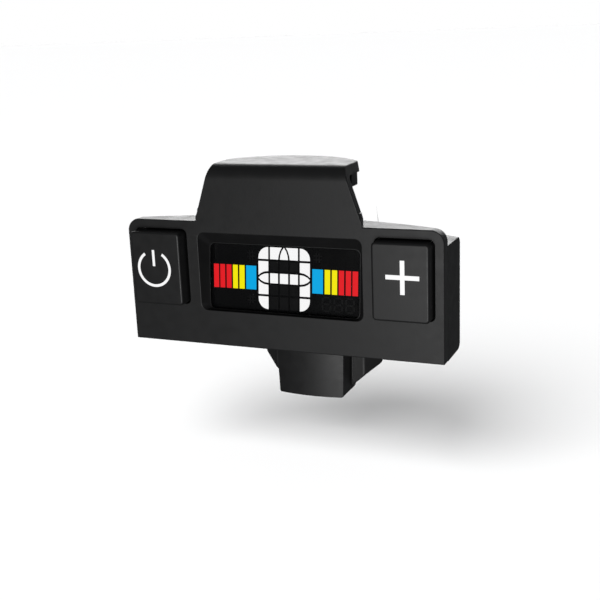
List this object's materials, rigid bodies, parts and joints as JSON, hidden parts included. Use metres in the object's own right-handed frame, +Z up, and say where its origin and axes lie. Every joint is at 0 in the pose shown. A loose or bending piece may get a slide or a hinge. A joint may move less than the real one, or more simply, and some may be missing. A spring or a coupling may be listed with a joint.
{
  "type": "clip-on tuner",
  "caption": "Clip-on instrument tuner with a hook and a sprung sliding jaw for the edge of a sound hole, a recessed colour display, push buttons and a battery drawer.",
  "frame": {"origin": "middle of the hook's stop face, level with the underside of the hook's pad, where the edge of the soundboard sits", "axes": "+X to the right seen from the display side, +Y back over the soundboard, +Z up out of the soundboard"},
  "size_m": [0.064, 0.0241, 0.0493],
  "materials": {
    "shell_plastic": "fine matte texture",
    "cover_plastic": "fine matte texture",
    "pad_rubber": "soft matte",
    "window_plastic": "clear hard-coated, dark from the panel",
    "lcd_glass": "dark negative panel",
    "light_guide": "milky",
    "white_plastic": "moulded",
    "elastomer": "striped elastomer",
    "board_laminate": "solder mask",
    "chip_epoxy": "moulded epoxy",
    "piezo_brass": "bare",
    "lead_insulation": "smooth",
    "button_plastic": "fine matte texture",
    "switch_plastic": "moulded",
    "plunger_plastic": "moulded",
    "tray_plastic": "fine matte texture",
    "cell_steel": "nickel-plated",
    "contact_brass": "plated",
    "slider_plastic": "fine matte texture",
    "retainer_plastic": "moulded",
    "screw_steel": "zinc-plated",
    "spring_steel": "bright wire"
  },
  "bodies": {
    "case": {"front_shell": "shell_plastic", "rear_cover": "cover_plastic", "hook_pad": "pad_rubber", "display_window": "window_plastic", "lcd_panel": "lcd_glass", "lcd_backlight": "light_guide", "lcd_frame": "white_plastic", "lcd_connector": "elastomer", "main_board": "board_laminate", "board_chips": "chip_epoxy", "piezo_sensor": "piezo_brass", "piezo_leads": "lead_insulation", "power_switch": "switch_plastic", "plus_switch": "switch_plastic", "front_contact": "contact_brass", "rear_contact": "contact_brass", "clamp_spring": "spring_steel", "case_screws": "screw_steel"},
    "power_key": {"power_button": "button_plastic", "power_plunger": "plunger_plastic"},
    "plus_key": {"plus_button": "button_plastic", "plus_plunger": "plunger_plastic"},
    "battery_drawer": {"battery_tray": "tray_plastic", "coin_cell": "cell_steel"},
    "clamp": {"clamp_slider": "slider_plastic", "jaw_pad": "pad_rubber", "slider_retainer": "retainer_plastic", "retainer_screws": "screw_steel"}
  },
  "joints": [
    {"name": "power_button_press", "type": "slide", "parent": "case", "child": "power_key", "axis": [0, 1, 0], "range_m": [0, 0.0006], "stiffness_N_per_m": 2500},
    {"name": "plus_button_press", "type": "slide", "parent": "case", "child": "plus_key", "axis": [0, 1, 0], "range_m": [0, 0.0006], "stiffness_N_per_m": 2500},
    {"name": "clamp_slide", "type": "slide", "parent": "case", "child": "clamp", "axis": [0, 0, -1], "range_m": [0, 0.0043], "stiffness_N_per_m": 1200, "springref_m": -0.003, "deforming": ["clamp_spring"]},
    {"name": "battery_drawer_slide", "type": "slide", "parent": "case", "child": "battery_drawer", "axis": [0, 0, -1], "range_m": [0, 0.022]}
  ]
}
